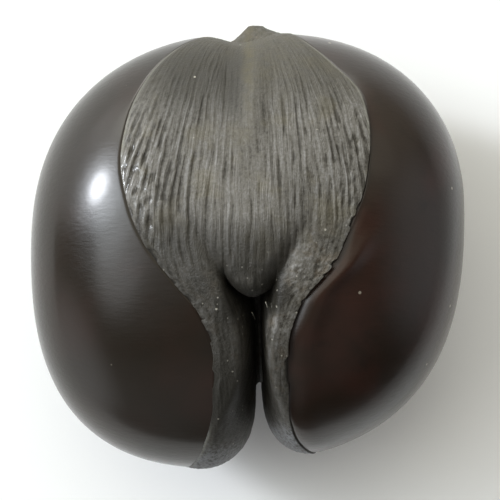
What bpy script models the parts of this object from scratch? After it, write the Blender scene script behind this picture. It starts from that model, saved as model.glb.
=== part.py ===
# Coco de mer nut at life size, lying on its back.
# X runs across the two lobes, +Y towards the stalk scar, +Z out of the fibrous face.
# The origin is on the surface that the nut rests on, under the middle of the nut.

import math

import bmesh
import bpy
import numpy as np

MM = 0.001

# Outer form. The middle axis runs from lobe to lobe through the widest points.
REACH_LEFT = 145.0 * MM
REACH_RIGHT = 142.0 * MM
RISE_TO_STALK = 134.0 * MM
RISE_LEAN = 2.4 * MM
DROP_TO_LOBE_ENDS = 153.5 * MM
FRONT_DEPTH = 86.0 * MM
BACK_DEPTH = 94.0 * MM
BACK_LEAN = 0.8 * MM
LEAN_WIDTH = 30.0 * MM
AXIS_HEIGHT = 6.5 * MM
AXIS_SLOPE_LEFT = 0.067
AXIS_SLOPE_RIGHT = 0.15
LEFT_POWER = 2.5
LEFT_POWER_CHANGE = 0.1
RIGHT_POWER = 2.42
RIGHT_POWER_CHANGE = 0.4
LOWER_POWER = 2.25
TONGUE_DROP = 4.0

# Flat spots worn on the back of each lobe
FLAT_DEPTH = 2.0 * MM

# Raw fibrous layer, thicker than the polished shell beside it. It thins out at the
# stalk, at the lobe ends and on the back, and fades away inside the cleft.
RAW_THICKNESS = 1.5 * MM
STEP_WIDTH = 1.3 * MM
RIBS_PER_SIDE = 14
RIB_HEIGHT = 2.2 * MM
THIN_AT_STALK = 0.25
STALK_FADE = (12, 48)
THIN_AT_LOBE_ENDS = 0.6
THIN_AT_BACK = 0.5
CLEFT_FADE = (5.0 * MM, 16.0 * MM)

# Broad relief of the fibrous face: a bulge in the middle, a ridge below the stalk with
# a hollow on its left, and a crease on each side above the lobes
BULGE_HEIGHT = 5.0 * MM
BULGE_SPREAD = (30.0 * MM, 34.0 * MM)
BULGE_Y = -4.0 * MM
RIDGE_HEIGHT = 3.0 * MM
RIDGE_X = 2.5 * MM
RIDGE_RISE = (40.0 * MM, 110.0 * MM)
HOLLOW_DEPTH = 3.5 * MM
HOLLOW_X = -13.0 * MM
HOLLOW_RISE = (60.0 * MM, 115.0 * MM)
RIDGE_SPREAD = 9.0 * MM
CREASE_DEPTH = 4.0 * MM
CREASE_SPREAD = 7.0 * MM
CREASE_START = (17.0 * MM, -24.0 * MM)
CREASE_LEAN = 0.58
CREASE_LENGTH = (-30.0 * MM, -20.0 * MM, -16.0 * MM, 22.0 * MM)
FACE_ANGLES = (10, 40, 110, 125)

# Dip between the shoulders
DIP_DEPTH = 6.0 * MM
DIP_X = -7.0 * MM
DIP_SPREAD = (15.0 * MM, 40.0 * MM)

# Stalk scar
SCAR_CENTRE = 0.8 * MM
SCAR_HALF_WIDTH = 9.5 * MM
SCAR_HALF_DEPTH = 10.0 * MM
SCAR_HEIGHT = 8.5 * MM
SCAR_SOFTNESS = 0.36

# How sharply the lobes round over into the cleft, more softly at the lobe ends
LIP_SQUARENESS = 0.9
LIP_SOFTER_AT_ENDS = 0.35

# Mesh density
COLUMNS = 82
ROWS = 72
COLUMNS_PER_RIB = 2

# Where the rows crowd together: angle, spread and how much closer they lie
CROWDING = [(0, 14, 1.3), (360, 14, 1.3), (107, 9, 2.2), (180, 30, 0.6)]

# Half width of the raw layer, left and right of the middle, at angles round the nut:
# 0 is the stalk, 90 the middle of the face, 180 the lobe ends, 270 the back.
RAW_EDGE = [
    (0, 30, 31), (10, 34, 33), (20, 47, 39), (35, 65, 56), (50, 76.5, 70.5), (65, 80.5, 74.5),
    (80, 75, 71), (90, 66, 63.5), (100, 47.5, 51), (108, 31, 31), (118, 23, 23.5), (132, 23.5, 24),
    (148, 29, 28), (165, 35, 36), (180, 39, 41), (205, 33, 33), (235, 21, 20), (270, 15, 15),
    (325, 17, 17), (346, 24, 24),
]

# Cleft between the lobes, at the same angles: where its middle lies, half its width,
# its floor as a share of the full radius, and how far each lobe rounds over beside it.
CLEFT = [
    (0, 0, 6, 1.0, 20, 20), (60, 0, 14, 1.0, 12, 12), (97, 0, 16, 1.0, 9, 9),
    (102, 0, 16, 0.985, 10, 9), (106, 0.3, 14.5, 0.88, 12, 10), (110, 1.2, 11.0, 0.62, 16, 13),
    (115, 2.2, 8.2, 0.46, 22, 18), (125, 3.6, 5.2, 0.38, 32, 28), (140, 5.2, 3.6, 0.38, 38, 36),
    (160, 6.0, 3.0, 0.5, 38, 44), (180, 6.7, 3.6, 0.61, 38, 44), (200, 6, 3.0, 0.67, 42, 44),
    (235, 5, 2.6, 0.67, 56, 56), (270, 4, 2.4, 0.72, 56, 56), (300, 3, 3, 0.85, 44, 44),
    (322, 2, 4, 0.96, 30, 30), (340, 1, 5, 1.0, 24, 24),
]


def ring_curve(stations, column):
    """Smooth closed curve through one column of a table of angles and values."""
    angles = np.array([row[0] for row in stations], float)
    values = np.array([row[column] for row in stations], float)
    knots = np.concatenate([angles - 360, angles, angles + 360])
    heights = np.tile(values, 3)
    spans = np.diff(knots)
    slopes = np.diff(heights) / spans
    tangents = np.zeros_like(knots)
    same_way = slopes[:-1] * slopes[1:] > 0
    before, after = slopes[:-1][same_way], slopes[1:][same_way]
    span_before, span_after = spans[:-1][same_way], spans[1:][same_way]
    weight_before = 2 * span_after + span_before
    weight_after = span_after + 2 * span_before
    blend = weight_before / before + weight_after / after
    tangents[1:-1][same_way] = (weight_before + weight_after) / blend

    def curve(angle):
        angle = np.mod(angle, 360)
        i = np.clip(np.searchsorted(knots, angle, side="right") - 1, 0, len(spans) - 1)
        t = (angle - knots[i]) / spans[i]
        start = (1 + 2 * t) * (1 - t) ** 2 * heights[i] + t * (1 - t) ** 2 * spans[i] * tangents[i]
        end = t * t * (3 - 2 * t) * heights[i + 1] + t * t * (t - 1) * spans[i] * tangents[i + 1]
        return start + end

    return curve


raw_left = ring_curve(RAW_EDGE, 1)
raw_right = ring_curve(RAW_EDGE, 2)
cleft_middle = ring_curve(CLEFT, 1)
cleft_half_width = ring_curve(CLEFT, 2)
cleft_floor = ring_curve(CLEFT, 3)
round_left = ring_curve(CLEFT, 4)
round_right = ring_curve(CLEFT, 5)


def smooth_step(low, high, value):
    t = np.clip((value - low) / (high - low), 0, 1)
    return t * t * (3 - 2 * t)


def hill(value, middle, spread):
    return np.exp(-(((value - middle) / spread) ** 2))


def row_angles(count):
    """Angles of the rows round the nut, closer together where the form turns sharply."""
    fine = np.linspace(0, 360, 3601)
    crowding = 1 + sum(amount * hill(fine, middle, spread) for middle, spread, amount in CROWDING)
    total = np.concatenate([[0], np.cumsum((crowding[1:] + crowding[:-1]) / 2)])
    return np.interp(np.arange(count) / count * total[-1], total, fine)


def body_point(x, share, angle):
    """Point of the smooth body at distance x across it, with its radius scaled by share."""
    cosine, sine = math.cos(math.radians(angle)), math.sin(math.radians(angle))
    across = np.clip(np.abs(x) / np.where(x > 0, REACH_RIGHT, REACH_LEFT), 0, 1)
    outline = np.where(
        x > 0, RIGHT_POWER - RIGHT_POWER_CHANGE * cosine, LEFT_POWER - LEFT_POWER_CHANGE * cosine
    )
    size = (1 - across**outline) ** (1 / outline) * share
    lean = np.tanh(x / LEAN_WIDTH)
    rise = RISE_TO_STALK - RISE_LEAN * lean if cosine > 0 else DROP_TO_LOBE_ENDS
    depth = FRONT_DEPTH if sine > 0 else BACK_DEPTH + BACK_LEAN * lean
    power = 2.0 if cosine > 0 else LOWER_POWER
    fullness = (abs(cosine) ** power + abs(sine) ** power) ** (-1 / power)
    slope = np.where(x > 0, AXIS_SLOPE_RIGHT, AXIS_SLOPE_LEFT)
    y = AXIS_HEIGHT + slope * x + rise * cosine * fullness * size
    z = depth * sine * fullness * size
    return y, z


def section(side, angle, raw_shares, shell_count):
    """One side of a section: x and radius share at each raw column, then each shell column."""
    middle = float(cleft_middle(angle)) * MM
    half = float(cleft_half_width(angle)) * MM
    rounding = float((round_right if side > 0 else round_left)(angle)) * MM
    edge = float((raw_right if side > 0 else raw_left)(angle)) * MM
    edge_out = edge - side * middle
    turn = np.linspace(0, math.pi / 2, 60)
    flat = np.linspace(0, 1, 12)
    floor = cleft_floor(angle + TONGUE_DROP * flat**2)
    squareness = LIP_SQUARENESS - LIP_SOFTER_AT_ENDS * hill(angle, 180, 32)
    lip = floor[-1] + (1 - floor[-1]) * np.sin(turn) ** squareness
    out = np.concatenate([half * flat[:-1], half + rounding * (1 - np.cos(turn)), [REACH_LEFT]])
    share = np.concatenate([floor[:-1], lip, [1.0]])
    keep = out <= edge_out
    path_out = np.append(out[keep], edge_out)
    path_share = np.append(share[keep], np.interp(edge_out, out, share))
    radius = FRONT_DEPTH * path_share
    length = np.concatenate([[0], np.cumsum(np.hypot(np.diff(path_out), np.diff(radius)))])
    raw_out = np.interp(raw_shares * length[-1], length, path_out)
    raw_radius = np.interp(raw_shares * length[-1], length, path_share)
    reach = REACH_RIGHT if side > 0 else REACH_LEFT
    foot = math.asin((edge + STEP_WIDTH) / reach)
    shell_x = reach * np.sin(foot + (math.pi / 2 - foot) * np.arange(shell_count) / (shell_count - 1))
    shell_radius = np.interp(shell_x - side * middle, out, share)
    x = side * np.concatenate([raw_out + side * middle, shell_x])
    return x, np.concatenate([raw_radius, shell_radius])


def face_relief(x, y, angle):
    """Height of the broad forms of the fibrous face above the smooth body."""
    front = smooth_step(*FACE_ANGLES[:2], angle) * (1 - smooth_step(*FACE_ANGLES[2:], angle))
    bulge = BULGE_HEIGHT * hill(x, 0, BULGE_SPREAD[0]) * hill(y, BULGE_Y, BULGE_SPREAD[1])
    ridge = RIDGE_HEIGHT * hill(x, RIDGE_X, RIDGE_SPREAD) * smooth_step(*RIDGE_RISE, y)
    hollow = HOLLOW_DEPTH * hill(x, HOLLOW_X, RIDGE_SPREAD) * smooth_step(*HOLLOW_RISE, y)
    crease_x = CREASE_START[0] + (y - CREASE_START[1]) * CREASE_LEAN
    along = smooth_step(*CREASE_LENGTH[:2], y) * (1 - smooth_step(*CREASE_LENGTH[2:], y))
    crease = CREASE_DEPTH * hill(np.abs(x), crease_x, CREASE_SPREAD) * along
    return front * (bulge + ridge - hollow - crease)


def top_relief(x, z, angle):
    """Rise of the stalk scar, and of the dip between the shoulders that it stands in."""
    if math.cos(math.radians(angle)) <= 0:
        return np.zeros_like(x)
    dip = DIP_DEPTH * hill(x, DIP_X, DIP_SPREAD[0]) * hill(z, 0, DIP_SPREAD[1])
    off = np.hypot((x - SCAR_CENTRE) / SCAR_HALF_WIDTH, z / SCAR_HALF_DEPTH)
    scar = SCAR_HEIGHT * (0.5 - 0.5 * np.tanh((off - 1) / SCAR_SOFTNESS))
    return scar - dip


def nut_surface():
    """Positions of the smooth nut, row by row, and how far the raw layer stands out there."""
    raw_columns = RIBS_PER_SIDE * COLUMNS_PER_RIB
    shell_count = COLUMNS // 2 - raw_columns
    raw_shares = np.arange(raw_columns + 1) / raw_columns
    raw_place = np.abs(np.arange(-COLUMNS // 2, COLUMNS // 2 + 1))
    rows, lifts = [], []
    for angle in row_angles(ROWS):
        left_x, left_share = section(-1, angle, raw_shares, shell_count)
        right_x, right_share = section(1, angle, raw_shares, shell_count)
        x = np.concatenate([left_x[::-1], right_x[1:]])
        share = np.concatenate([left_share[::-1], right_share[1:]])
        y, z = body_point(x, share, angle)
        y = y + top_relief(x, z, angle)
        z = z + face_relief(x, y, angle)
        rows.append(np.stack([x, y, z], 1))
        thin = 1 - (1 - THIN_AT_STALK) * (1 - smooth_step(*STALK_FADE, min(angle, 360 - angle)))
        thin *= 1 - THIN_AT_LOBE_ENDS * hill(angle, 180, 25)
        thin *= 1 - THIN_AT_BACK * hill(angle, 270, 45)
        rib = RIB_HEIGHT * np.where(raw_place % COLUMNS_PER_RIB == 0, 0.5, -0.5)
        inside = 1 - smooth_step(*CLEFT_FADE, (1 - share) * FRONT_DEPTH)
        lifts.append(np.where(raw_place <= raw_columns, (RAW_THICKNESS + rib) * thin * inside, 0))
    return np.array(rows), np.array(lifts)


def build_nut():
    mesh = bpy.data.meshes.new("nut")
    bm = bmesh.new()
    bmesh.ops.create_uvsphere(bm, u_segments=ROWS, v_segments=COLUMNS, radius=1)
    surface, lifts = nut_surface()
    places = []
    for vert in bm.verts:
        column = round(math.acos(max(-1, min(1, -vert.co.z))) / math.pi * COLUMNS)
        row = round(math.atan2(vert.co.y, vert.co.x) / (2 * math.pi) * ROWS) % ROWS
        places.append((row, column))
        vert.co = surface[row, column]
    bmesh.ops.recalc_face_normals(bm, faces=bm.faces)
    bm.normal_update()
    for vert, place in zip(bm.verts, places):
        vert.co += vert.normal * lifts[place]
    rest_on_flats(bm)
    centre_over_origin(bm)
    bm.to_mesh(mesh)
    bm.free()
    nut = bpy.data.objects.new("nut", mesh)
    bpy.context.collection.objects.link(nut)
    return nut


def rest_on_flats(bm):
    """Stand the nut on the surface, on a small flat spot cut on the back of each lobe."""
    lowest = min(vert.co.z for vert in bm.verts)
    bmesh.ops.translate(bm, verts=bm.verts, vec=(0, 0, -lowest - FLAT_DEPTH))
    everything = bm.verts[:] + bm.edges[:] + bm.faces[:]
    bmesh.ops.bisect_plane(bm, geom=everything, plane_co=(0, 0, 0), plane_no=(0, 0, -1), clear_outer=True)
    rims = [edge for edge in bm.edges if edge.is_boundary]
    bmesh.ops.holes_fill(bm, edges=rims, sides=0)


def centre_over_origin(bm):
    """Put the middle of the nut's outer size over the origin."""
    places = np.array([vert.co for vert in bm.verts])
    middle = (places.min(axis=0) + places.max(axis=0)) / 2
    bmesh.ops.translate(bm, verts=bm.verts, vec=(-middle[0], -middle[1], 0))


for old in list(bpy.data.objects):
    bpy.data.objects.remove(old, do_unlink=True)

nut = build_nut()
shell = bpy.data.materials.new("nutShell")
shell.use_nodes = True
shader = shell.node_tree.nodes["Principled BSDF"]
shader.inputs["Base Color"].default_value = (0.05, 0.035, 0.028, 1)
shader.inputs["Roughness"].default_value = 0.3
nut.data.materials.append(shell)
nut.data.shade_smooth()
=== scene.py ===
import math

import bmesh
import bpy
import numpy as np
from mathutils import Matrix, Vector


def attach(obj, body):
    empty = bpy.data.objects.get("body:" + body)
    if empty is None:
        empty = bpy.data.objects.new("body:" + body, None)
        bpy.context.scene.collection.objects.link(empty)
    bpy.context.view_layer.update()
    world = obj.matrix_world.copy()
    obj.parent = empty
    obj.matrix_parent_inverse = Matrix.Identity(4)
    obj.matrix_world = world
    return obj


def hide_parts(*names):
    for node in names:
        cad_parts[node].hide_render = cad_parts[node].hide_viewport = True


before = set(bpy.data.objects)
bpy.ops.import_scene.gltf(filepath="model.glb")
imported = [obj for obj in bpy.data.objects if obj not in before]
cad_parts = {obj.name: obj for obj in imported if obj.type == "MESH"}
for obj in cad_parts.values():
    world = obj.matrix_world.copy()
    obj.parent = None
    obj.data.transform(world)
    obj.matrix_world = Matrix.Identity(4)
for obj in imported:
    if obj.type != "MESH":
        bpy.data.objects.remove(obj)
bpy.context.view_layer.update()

mm = 0.001


def smoothStep(low, high, value):
    t = np.clip((value - low) / (high - low), 0, 1)
    return t * t * (3 - 2 * t)


def hill(value, middle, spread):
    return np.exp(-(((value - middle) / spread) ** 2))


def blend(first, second, share):
    return first + (second - first) * share


def growing(row, value):
    # an amount that comes in between two limits
    amount, low, high = row
    return amount * smoothStep(low, high, value)


def fading(row, value):
    # an amount that goes out between two limits
    amount, low, high = row
    return amount * (1 - smoothStep(low, high, value))


def between(value, riseLow, riseHigh, fallLow, fallHigh):
    # 1 in the middle of a stretch, 0 on both sides of it
    return smoothStep(riseLow, riseHigh, value) * (1 - smoothStep(fallLow, fallHigh, value))


def outside(value, fallLow, fallHigh, riseLow, riseHigh):
    # 1 on both sides of a stretch, 0 in its middle
    return 1 - smoothStep(fallLow, fallHigh, value) + smoothStep(riseLow, riseHigh, value)


def bySide(side, pair):
    # the left or right one of two values; -1 stands for left and 1 for right
    return np.where(side < 0, pair[-1], pair[1])


def ringCurve(stations, column):
    # smooth closed curve through one column of a table of angles and values
    angles = np.array([row[0] for row in stations], float)
    knots = np.concatenate([angles - 360, angles, angles + 360])
    heights = np.tile(np.array([row[column] for row in stations], float), 3)
    spans = np.diff(knots)
    slopes = np.diff(heights) / spans
    tangents = np.zeros_like(knots)
    sameWay = slopes[:-1] * slopes[1:] > 0
    before, after = slopes[:-1][sameWay], slopes[1:][sameWay]
    spanBefore, spanAfter = spans[:-1][sameWay], spans[1:][sameWay]
    weightBefore = 2 * spanAfter + spanBefore
    weightAfter = spanAfter + 2 * spanBefore
    mixed = weightBefore / before + weightAfter / after
    tangents[1:-1][sameWay] = (weightBefore + weightAfter) / mixed

    def curve(angle):
        angle = np.mod(angle, 360)
        i = np.clip(np.searchsorted(knots, angle, side="right") - 1, 0, len(spans) - 1)
        t = (angle - knots[i]) / spans[i]
        start = (1 + 2 * t) * (1 - t) ** 2 * heights[i] + t * (1 - t) ** 2 * spans[i] * tangents[i]
        end = t * t * (3 - 2 * t) * heights[i + 1] + t * t * (t - 1) * spans[i] * tangents[i + 1]
        return start + end

    return curve


def latticeValue(ix, iy, seed):
    # scrambles a cell's place and a seed into a value from 0 to 1
    xFactor, yFactor, seedFactor, lastFactor = 73856093, 19349663, 83492791, 1274126177
    allBits, lowBits = 0xFFFFFFFF, 0xFFFF
    n = (ix.astype(np.int64) * xFactor) ^ (iy.astype(np.int64) * yFactor) ^ (seed * seedFactor)
    n = (n ^ (n >> 13)) & allBits
    n = (n * lastFactor) & allBits
    n = (n ^ (n >> 16)) & lowBits
    return n / lowBits


def softNoise(x, y, seed, yPeriod=None):
    # value from 0 to 1 that wanders smoothly; it repeats along y after yPeriod cells
    contrast = 0.85  # spreads the usual values over most of the range
    x, y = np.broadcast_arrays(x, y)
    ix, iy = np.floor(x).astype(np.int64), np.floor(y).astype(np.int64)
    fx, fy = x - ix, y - iy

    def corner(right, up):
        row = iy + up if yPeriod is None else (iy + up) % yPeriod
        turn = latticeValue(ix + right, row, seed) * 2 * math.pi
        return np.cos(turn) * (fx - right) + np.sin(turn) * (fy - up)

    shareX = fx * fx * fx * (fx * (fx * 6 - 15) + 10)
    shareY = fy * fy * fy * (fy * (fy * 6 - 15) + 10)
    low = blend(corner(0, 0), corner(1, 0), shareX)
    high = blend(corner(0, 1), corner(1, 1), shareX)
    return np.clip(0.5 + blend(low, high, shareY) * contrast, 0, 1)


# The middle axis runs from lobe to lobe through the widest points. Angles run round it:
# 0 is the stalk, 90 the middle of the face, 180 the lobe ends, 270 the back.
nutForm = dict(
    reachLeft=145.0 * mm,
    reachRight=142.0 * mm,
    riseToStalk=134.0 * mm,
    riseLean=2.4 * mm,
    dropToLobeEnds=153.5 * mm,
    frontDepth=86.0 * mm,
    backDepth=94.0 * mm,
    backLean=0.8 * mm,
    leanWidth=30.0 * mm,
    axisHeight=6.5 * mm,
    axisSlopeLeft=0.067,
    axisSlopeRight=0.15,
    leftPower=2.5,
    leftPowerChange=0.1,
    rightPower=2.42,
    rightPowerChange=0.4,
    upperPower=2.0,
    lowerPower=2.25,
    tongueDrop={-1: 6.0, 1: 2.5},
    floorSteps=16,
    lipSteps=90,
    lipSquareness=0.8,
    lipSofterAtEnds=0.25,
    lipEnds=(180, 32),
    moveToRest=(1.5 * mm, 1.231 * mm, 89.024 * mm),  # from the axis to the CAD's frame
)

# Half width of the raw layer, left and right of the middle, and how wide its fibres fan
# out on each side. Where the fan is wider than the layer, its edge cuts the fibres off.
rawTable = [
    (0, 30, 25, 30, 28), (10, 34, 28, 34, 31), (20, 47, 35, 45, 38), (35, 65, 51.5, 58, 52),
    (50, 76.5, 70.5, 69, 65), (65, 80.5, 74.5, 79, 74), (80, 75, 71, 88, 80), (90, 66, 63.5, 90, 81),
    (100, 47.5, 51, 80, 70), (108, 31, 31, 60, 50), (118, 23, 23.5, 44, 36), (132, 23.5, 24, 36, 32),
    (148, 30, 28, 38, 34), (165, 38.5, 38.5, 42, 40), (180, 43, 44, 44, 44), (205, 36, 36, 38, 38),
    (235, 21, 20, 28, 28), (270, 15, 15, 24, 24), (325, 17, 17, 22, 22), (346, 24, 24, 25, 25),
]

# Cleft between the lobes: where its middle lies, half its width, its floor as a share
# of the full radius, and how far each lobe rounds over beside it.
cleftTable = [
    (0, 0, 6, 1.0, 20, 20), (60, 0, 14, 1.0, 12, 12), (97, 0, 16, 1.0, 9, 9),
    (102, 0.6, 15.6, 0.985, 5, 6), (106, 1.7, 12.8, 0.88, 4, 5), (110, 2.9, 9.6, 0.62, 4, 5),
    (115, 3.4, 6.4, 0.46, 5, 5), (125, 4.4, 4.0, 0.38, 10, 9), (140, 5.2, 3.6, 0.38, 25, 20),
    (160, 6.0, 3.0, 0.5, 34, 36), (180, 6.7, 3.6, 0.61, 38, 44), (200, 6, 3.0, 0.67, 42, 44),
    (235, 5, 2.6, 0.67, 56, 56), (270, 4, 2.4, 0.72, 56, 56), (300, 3, 3, 0.85, 44, 44),
    (322, 2, 4, 0.96, 30, 30), (340, 1, 5, 1.0, 24, 24),
]

rawEdge = {-1: ringCurve(rawTable, 1), 1: ringCurve(rawTable, 2)}
fibreFan = {-1: ringCurve(rawTable, 3), 1: ringCurve(rawTable, 4)}
cleftMiddle = ringCurve(cleftTable, 1)
cleftHalfWidth = ringCurve(cleftTable, 2)
cleftFloor = ringCurve(cleftTable, 3)
lobeRounding = {-1: ringCurve(cleftTable, 4), 1: ringCurve(cleftTable, 5)}

faceRelief = dict(
    bulgeHeight=5.0 * mm,
    bulgeSpread=(30.0 * mm, 34.0 * mm),
    bulgeY=-4.0 * mm,
    ridgeHeight=3.0 * mm,
    ridgeX=2.5 * mm,
    ridgeRise=(40.0 * mm, 110.0 * mm),
    hollowDepth=3.5 * mm,
    hollowX=-13.0 * mm,
    hollowRise=(60.0 * mm, 115.0 * mm),
    ridgeSpread=9.0 * mm,
    creaseDepth=4.0 * mm,
    creaseSpread=5.5 * mm,
    creaseStart=(14.5 * mm, -24.0 * mm),
    creaseLean=0.5,
    creaseLength=(-30.0 * mm, -20.0 * mm, -16.0 * mm, 22.0 * mm),
    faceAngles=(10, 40, 110, 125),
    dipDepth=6.6 * mm,
    dipX=-7.5 * mm,
    dipSpread=(15.0 * mm, 40.0 * mm),
    scarCentre=3.8 * mm,
    scarHalfWidth=9.4 * mm,
    scarHalfDepth=10.0 * mm,
    scarTop=145.6 * mm,
    scarEdges=(0.52, 1.9),
    scarHollowness=1.2,
)


def crowdedAngles(count, crowding):
    # angles of the rows round the nut, closer together where crowding says
    fineSteps = 7200
    fine = np.linspace(0, 360, fineSteps + 1)
    weight = crowding(fine)
    total = np.concatenate([[0], np.cumsum((weight[1:] + weight[:-1]) / 2)])
    return np.interp(np.arange(count) / count * total[-1], total, fine)


def bodyPoint(x, share, angle):
    # point of the smooth body at distance x across it, with its radius scaled by share
    f = nutForm
    cosine, sine = math.cos(math.radians(angle)), math.sin(math.radians(angle))
    across = np.clip(np.abs(x) / np.where(x > 0, f["reachRight"], f["reachLeft"]), 0, 1)
    rightPower = f["rightPower"] - f["rightPowerChange"] * cosine
    power = np.where(x > 0, rightPower, f["leftPower"] - f["leftPowerChange"] * cosine)
    size = (1 - across**power) ** (1 / power) * share
    lean = np.tanh(x / f["leanWidth"])
    rise = f["riseToStalk"] - f["riseLean"] * lean if cosine > 0 else f["dropToLobeEnds"]
    depth = f["frontDepth"] if sine > 0 else f["backDepth"] + f["backLean"] * lean
    roundness = f["upperPower"] if cosine > 0 else f["lowerPower"]
    fullness = (abs(cosine) ** roundness + abs(sine) ** roundness) ** (-1 / roundness)
    slope = np.where(x > 0, f["axisSlopeRight"], f["axisSlopeLeft"])
    y = f["axisHeight"] + slope * x + rise * cosine * fullness * size
    z = depth * sine * fullness * size
    return y, z


def sectionSide(side, angle, rawShares, grooveSteps, shellCount):
    # one side of a section: x, radius share and path length at each raw column, then
    # the columns beside the raw layer's edge and those spread over the shell
    f = nutForm
    middle = float(cleftMiddle(angle)) * mm
    half = float(cleftHalfWidth(angle)) * mm
    rounding = float(lobeRounding[side](angle)) * mm
    edge = float(rawEdge[side](angle)) * mm
    edgeOut = edge - side * middle
    turn = np.linspace(0, math.pi / 2, f["lipSteps"])
    flat = np.linspace(0, 1, f["floorSteps"])
    floor = cleftFloor(angle + f["tongueDrop"][side] * flat**2)
    squareness = f["lipSquareness"] - f["lipSofterAtEnds"] * hill(angle, *f["lipEnds"])
    lip = floor[-1] + (1 - floor[-1]) * np.sin(turn) ** squareness
    out = np.concatenate([half * flat[:-1], half + rounding * (1 - np.cos(turn)), [f["reachLeft"]]])
    share = np.concatenate([floor[:-1], lip, [1.0]])
    keep = out <= edgeOut
    pathOut = np.append(out[keep], edgeOut)
    pathShare = np.append(share[keep], np.interp(edgeOut, out, share))
    radius = f["frontDepth"] * pathShare
    length = np.concatenate([[0], np.cumsum(np.hypot(np.diff(pathOut), np.diff(radius)))])
    along = rawShares * length[-1]
    rawX = np.interp(along, length, pathOut) + side * middle
    rawRadius = np.interp(along, length, pathShare)
    if shellCount == 0:
        return side * rawX, rawRadius, along
    reach = f["reachRight"] if side > 0 else f["reachLeft"]
    nearX = edge + np.array(grooveSteps)
    foot = math.asin(nearX[-1] / reach)
    spread = np.arange(1, shellCount + 1) / shellCount
    farX = reach * np.sin(foot + (math.pi / 2 - foot) * spread)
    shellX = np.concatenate([nearX, farX])
    shellRadius = np.interp(shellX - side * middle, out, share)
    x = side * np.concatenate([rawX, shellX])
    along = np.concatenate([along, length[-1] + shellX - edge])
    return x, np.concatenate([rawRadius, shellRadius]), along


def broadRelief(x, y, angle):
    # the face's bulge, its ridge and hollow towards the stalk, and a crease at each side
    f = faceRelief
    front = between(angle, *f["faceAngles"])
    bulge = f["bulgeHeight"] * hill(x, 0, f["bulgeSpread"][0]) * hill(y, f["bulgeY"], f["bulgeSpread"][1])
    ridge = f["ridgeHeight"] * hill(x, f["ridgeX"], f["ridgeSpread"]) * smoothStep(*f["ridgeRise"], y)
    hollow = f["hollowDepth"] * hill(x, f["hollowX"], f["ridgeSpread"]) * smoothStep(*f["hollowRise"], y)
    creaseX = f["creaseStart"][0] + (y - f["creaseStart"][1]) * f["creaseLean"]
    span = between(y, *f["creaseLength"])
    crease = f["creaseDepth"] * hill(np.abs(x), creaseX, f["creaseSpread"]) * span
    return front * (bulge + ridge - hollow - crease)


def stalkRelief(x, y, z, angle):
    # the stalk end dips beside a scar with a flat top
    f = faceRelief
    if math.cos(math.radians(angle)) <= 0:
        return y
    y = y - f["dipDepth"] * hill(x, f["dipX"], f["dipSpread"][0]) * hill(z, 0, f["dipSpread"][1])
    off = np.hypot((x - f["scarCentre"]) / f["scarHalfWidth"], z / f["scarHalfDepth"])
    slope = np.clip((f["scarEdges"][1] - off) / (f["scarEdges"][1] - f["scarEdges"][0]), 0, 1)
    return blend(y, np.maximum(y, f["scarTop"]), slope ** f["scarHollowness"])


def nutRows(angles, rawShares, grooveSteps=(), shellCount=0):
    # grids of the smooth nut, a row for each angle: places, signed path lengths, radius
    # shares and the path length from the middle to the raw layer's edge on each side
    places, paths, shares, edges = [], [], [], []
    for angle in angles:
        left = sectionSide(-1, angle, rawShares, grooveSteps, shellCount)
        right = sectionSide(1, angle, rawShares, grooveSteps, shellCount)
        x, share, path = (np.concatenate([a[::-1] * s, b[1:]]) for a, b, s in zip(left, right, (1, 1, -1)))
        y, z = bodyPoint(x, share, angle)
        y = stalkRelief(x, y, z, angle)
        z = z + broadRelief(x, y, angle)
        places.append(np.stack([x, y, z], 1))
        paths.append(path)
        shares.append(share)
        last = len(rawShares) - 1
        edges.append((left[2][last], right[2][last]))
    return np.array(places), np.array(paths), np.array(shares), np.array(edges)


def gridNormals(places):
    # outward directions of a grid whose rows close round the nut
    tiny = 1e-14
    alongRows = np.roll(places, -1, 0) - np.roll(places, 1, 0)
    alongColumns = np.gradient(places, axis=1)
    normals = np.cross(alongColumns, alongRows)
    size = np.linalg.norm(normals, axis=2, keepdims=True)
    normals = np.where(size > tiny, normals / np.maximum(size, tiny), 0)
    middle = places.shape[1] // 4
    if (normals[:, middle] * places[:, middle]).sum() < 0:
        normals = -normals
    return normals


def newPiece(name, bm, material):
    mesh = bpy.data.meshes.new(name)
    bm.to_mesh(mesh)
    bm.free()
    mesh.materials.append(material)
    mesh.shade_smooth()
    piece = bpy.data.objects.new(name, mesh)
    bpy.context.collection.objects.link(piece)
    return piece


def pointAttribute(piece, name, values):
    attribute = piece.data.attributes.new(name, "FLOAT", "POINT")
    attribute.data.foreach_set("value", np.ascontiguousarray(values, np.float32))


class Link:
    # one output of a shader node; maths on it adds Math nodes

    def __init__(self, kit, out):
        self.kit = kit
        self.out = out

    def __add__(self, other):
        return self.kit.maths("ADD", self, other)

    def __sub__(self, other):
        return self.kit.maths("SUBTRACT", self, other)

    def __rsub__(self, other):
        return self.kit.maths("SUBTRACT", other, self)

    def __mul__(self, other):
        return self.kit.maths("MULTIPLY", self, other)

    __radd__ = __add__
    __rmul__ = __mul__


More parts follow.
